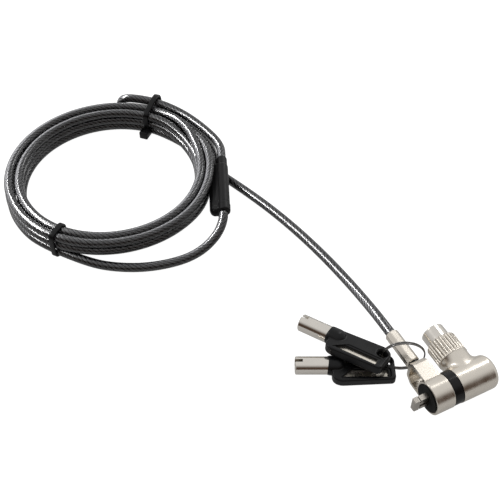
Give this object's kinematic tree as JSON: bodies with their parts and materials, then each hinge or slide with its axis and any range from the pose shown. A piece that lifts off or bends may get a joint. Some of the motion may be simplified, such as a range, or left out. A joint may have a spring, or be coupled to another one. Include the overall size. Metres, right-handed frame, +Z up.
{
  "type": "laptop cable lock",
  "caption": "Cable lock for a laptop's security slot: T-bar lock head with a side tubular key lock, swivel collar, coiled coated steel cable with an eye loop, and keys on a ring.",
  "frame": {"origin": "centre of the rubber washer's front face, where the lock head meets the laptop's case", "axes": "+X back along the lock barrel, away from the case; +Y along the key cylinder towards the keyhole; +Z up, with the lock lying flat on a table"},
  "size_m": [0.1528, 0.2445, 0.0194],
  "materials": {
    "coated_cable": "smoky clear coat over grey steel strands, glossy",
    "black_cover": "satin moulded",
    "crimp_alloy": "as pressed",
    "black_nylon": "satin moulded nylon",
    "nickel": "satin nickel plate on zinc casting",
    "bright_nickel": "bright nickel plate on brass",
    "steel": "ground steel",
    "brass": "turned",
    "black_band": "fine grained satin",
    "black_rubber": "matt",
    "ring_steel": "polished spring steel",
    "key_plate": "nickel plate",
    "key_plastic": "moulded, half gloss"
  },
  "bodies": {
    "cable": {"cable_coil": "coated_cable", "cable_run": "coated_cable", "cable_tail": "coated_cable", "cable_eye": "coated_cable", "loop_sleeve": "black_cover", "loop_crimp": "crimp_alloy", "cable_tie_top": "black_nylon", "cable_tie_side": "black_nylon", "cable_ferrule": "nickel", "swivel_rivet": "steel", "swivel_washer": "black_nylon"},
    "collar": {"swivel_collar": "nickel"},
    "head": {"rear_housing": "nickel", "spacer_band": "black_band", "barrel_sleeve": "nickel", "face_washer": "black_rubber", "slot_guides": "steel", "cylinder_shell": "bright_nickel", "driver_block": "brass", "driver_pins": "steel", "pin_springs": "steel", "cylinder_pin": "steel"},
    "bolt": {"t_bar": "steel", "spindle_gear": "steel", "spindle_clip": "steel"},
    "plug": {"lock_plug": "bright_nickel", "key_pins": "steel", "plug_gear": "steel", "plug_clip": "steel"},
    "ring": {"key_ring": "ring_steel"},
    "key_a": {"key_a_tube": "bright_nickel", "key_a_plate": "key_plate", "key_a_head": "key_plastic"},
    "key_b": {"key_b_tube": "bright_nickel", "key_b_plate": "key_plate", "key_b_head": "key_plastic"}
  },
  "joints": [
    {"name": "ferrule_swivel", "type": "hinge", "parent": "cable", "child": "collar", "pos_m": [0.005, 0.016, 0], "axis": [0, -1, 0], "range_deg": [-60, 35]},
    {"name": "head_spin", "type": "hinge", "parent": "collar", "child": "head", "pos_m": [0.005, 0, 0], "axis": [1, 0, 0], "continuous": true},
    {"name": "key_turn", "type": "hinge", "parent": "head", "child": "plug", "pos_m": [0.0214, 0.018, 0], "axis": [0, 1, 0], "range_deg": [0, 90]},
    {"name": "t_bar_turn", "type": "hinge", "parent": "head", "child": "bolt", "pos_m": [0.008, 0, 0], "axis": [1, 0, 0], "range_deg": [0, 90]},
    {"name": "ring_swing", "type": "hinge", "parent": "cable", "child": "ring", "pos_m": [0.005, 0.0211, 0], "axis": [0, 1, 0], "range_deg": [0, 60]},
    {"name": "key_a_swing", "type": "hinge", "parent": "ring", "child": "key_a", "pos_m": [-0.00597, 0.02499, 0.002], "axis": [0.1475, 0.1583, 0.9763], "range_deg": [-12, 5]},
    {"name": "key_b_swing", "type": "hinge", "parent": "ring", "child": "key_b", "pos_m": [-0.00381, 0.02431, -0.0036], "axis": [0, 0, 1], "range_deg": [-4, 15]}
  ],
  "couplings": [
    {"joint": "t_bar_turn", "follows": "key_turn", "ratio": 1}
  ]
}
